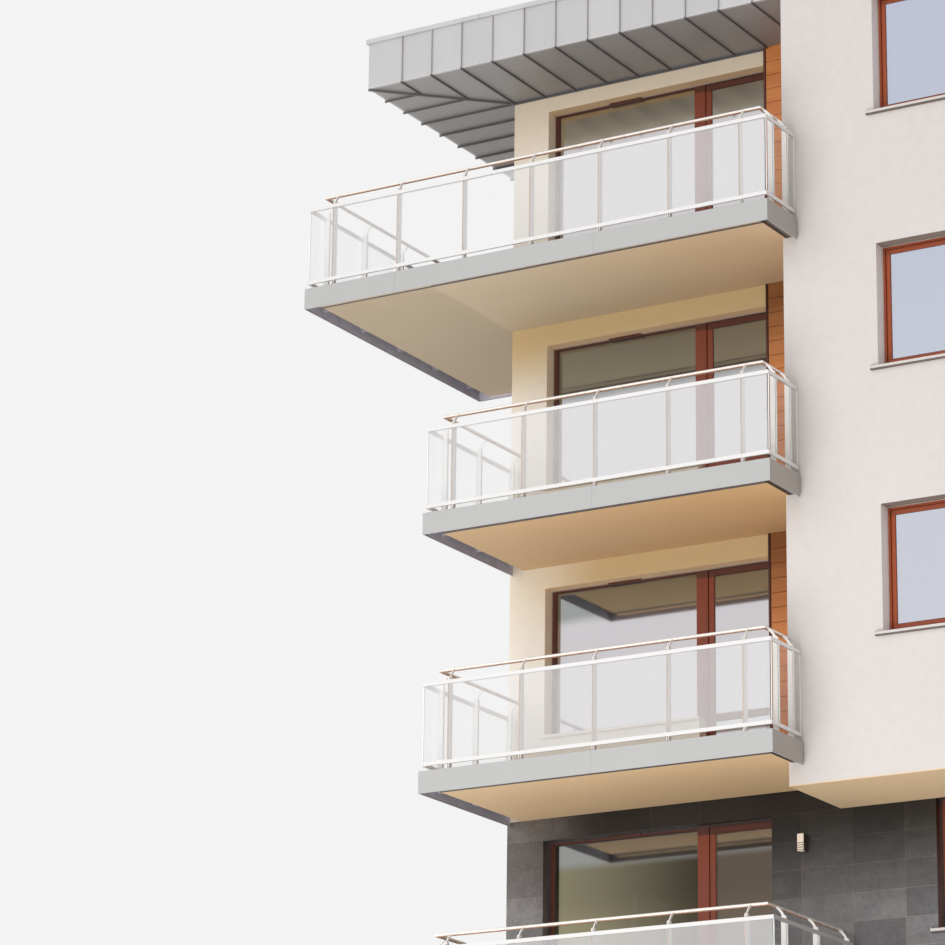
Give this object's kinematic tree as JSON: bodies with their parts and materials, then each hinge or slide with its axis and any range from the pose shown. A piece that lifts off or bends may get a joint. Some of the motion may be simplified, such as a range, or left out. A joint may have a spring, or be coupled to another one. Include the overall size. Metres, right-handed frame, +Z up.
{
  "type": "apartment block",
  "caption": "Flat-roofed apartment block with a dark stone base, light render above, a bay, corner balconies with glass railings and a metal-clad roof edge.",
  "frame": {"origin": "middle of the whole block's box at ground level", "axes": "+X along the balcony front to its right end seen from outside, +Y from the balcony front to the rear, +Z up"},
  "size_m": [15.838, 15.352, 21.531],
  "materials": {
    "concrete": "cast concrete, plain",
    "block_wall": "plastered block masonry",
    "dark_slate": "satin natural slate slabs with thin joints",
    "grey_render": "fine mineral render, warm light grey",
    "cream_render": "fine mineral render, cream",
    "beige_coat": "smooth painted coat, beige",
    "balcony_concrete": "painted concrete, beige",
    "fascia_metal": "light grey coated sheet, satin",
    "railing_steel": "brushed stainless steel",
    "railing_glass": "clear laminated glass",
    "stained_wood": "red-brown stained timber, satin",
    "window_glass": "sealed double glazing, mirroring",
    "sill_metal": "light grey coated sheet, satin",
    "cladding_wood": "orange-brown varnished boards, satin",
    "lamp_metal": "satin aluminium",
    "roof_metal": "weathered light grey zinc sheet",
    "roof_membrane": "dark roofing sheet, matt"
  },
  "bodies": {
    "root": {"ground_slab": "concrete", "floor_slabs": "concrete", "bay_floors": "concrete", "roof_slab": "concrete", "front_piers": "block_wall", "front_beams": "block_wall", "low_walls": "block_wall", "side_piers": "block_wall", "side_beams": "block_wall", "rear_piers": "block_wall", "rear_beams": "block_wall", "bay_side_walls": "block_wall", "centre_piers": "block_wall", "bay_beams": "block_wall", "slate_facing": "dark_slate", "block_render": "grey_render", "recess_render": "cream_render", "bay_render": "grey_render", "bay_soffit": "beige_coat", "balcony_slabs": "balcony_concrete", "balcony_fascias": "fascia_metal", "railing_posts": "railing_steel", "railing_glass": "railing_glass", "glass_rails": "railing_steel", "handrails": "railing_steel", "balcony_frames": "stained_wood", "balcony_panes": "window_glass", "low_wall_sills": "cream_render", "window_frames": "stained_wood", "window_panes": "window_glass", "window_sills": "sill_metal", "entrance_door": "stained_wood", "timber_boards": "cladding_wood", "wall_lamps": "lamp_metal", "roof_cladding": "roof_metal", "roof_soffit": "roof_metal", "roof_seams": "roof_metal", "roof_cap": "roof_metal", "roof_deck": "roof_membrane"}
  },
  "joints": []
}
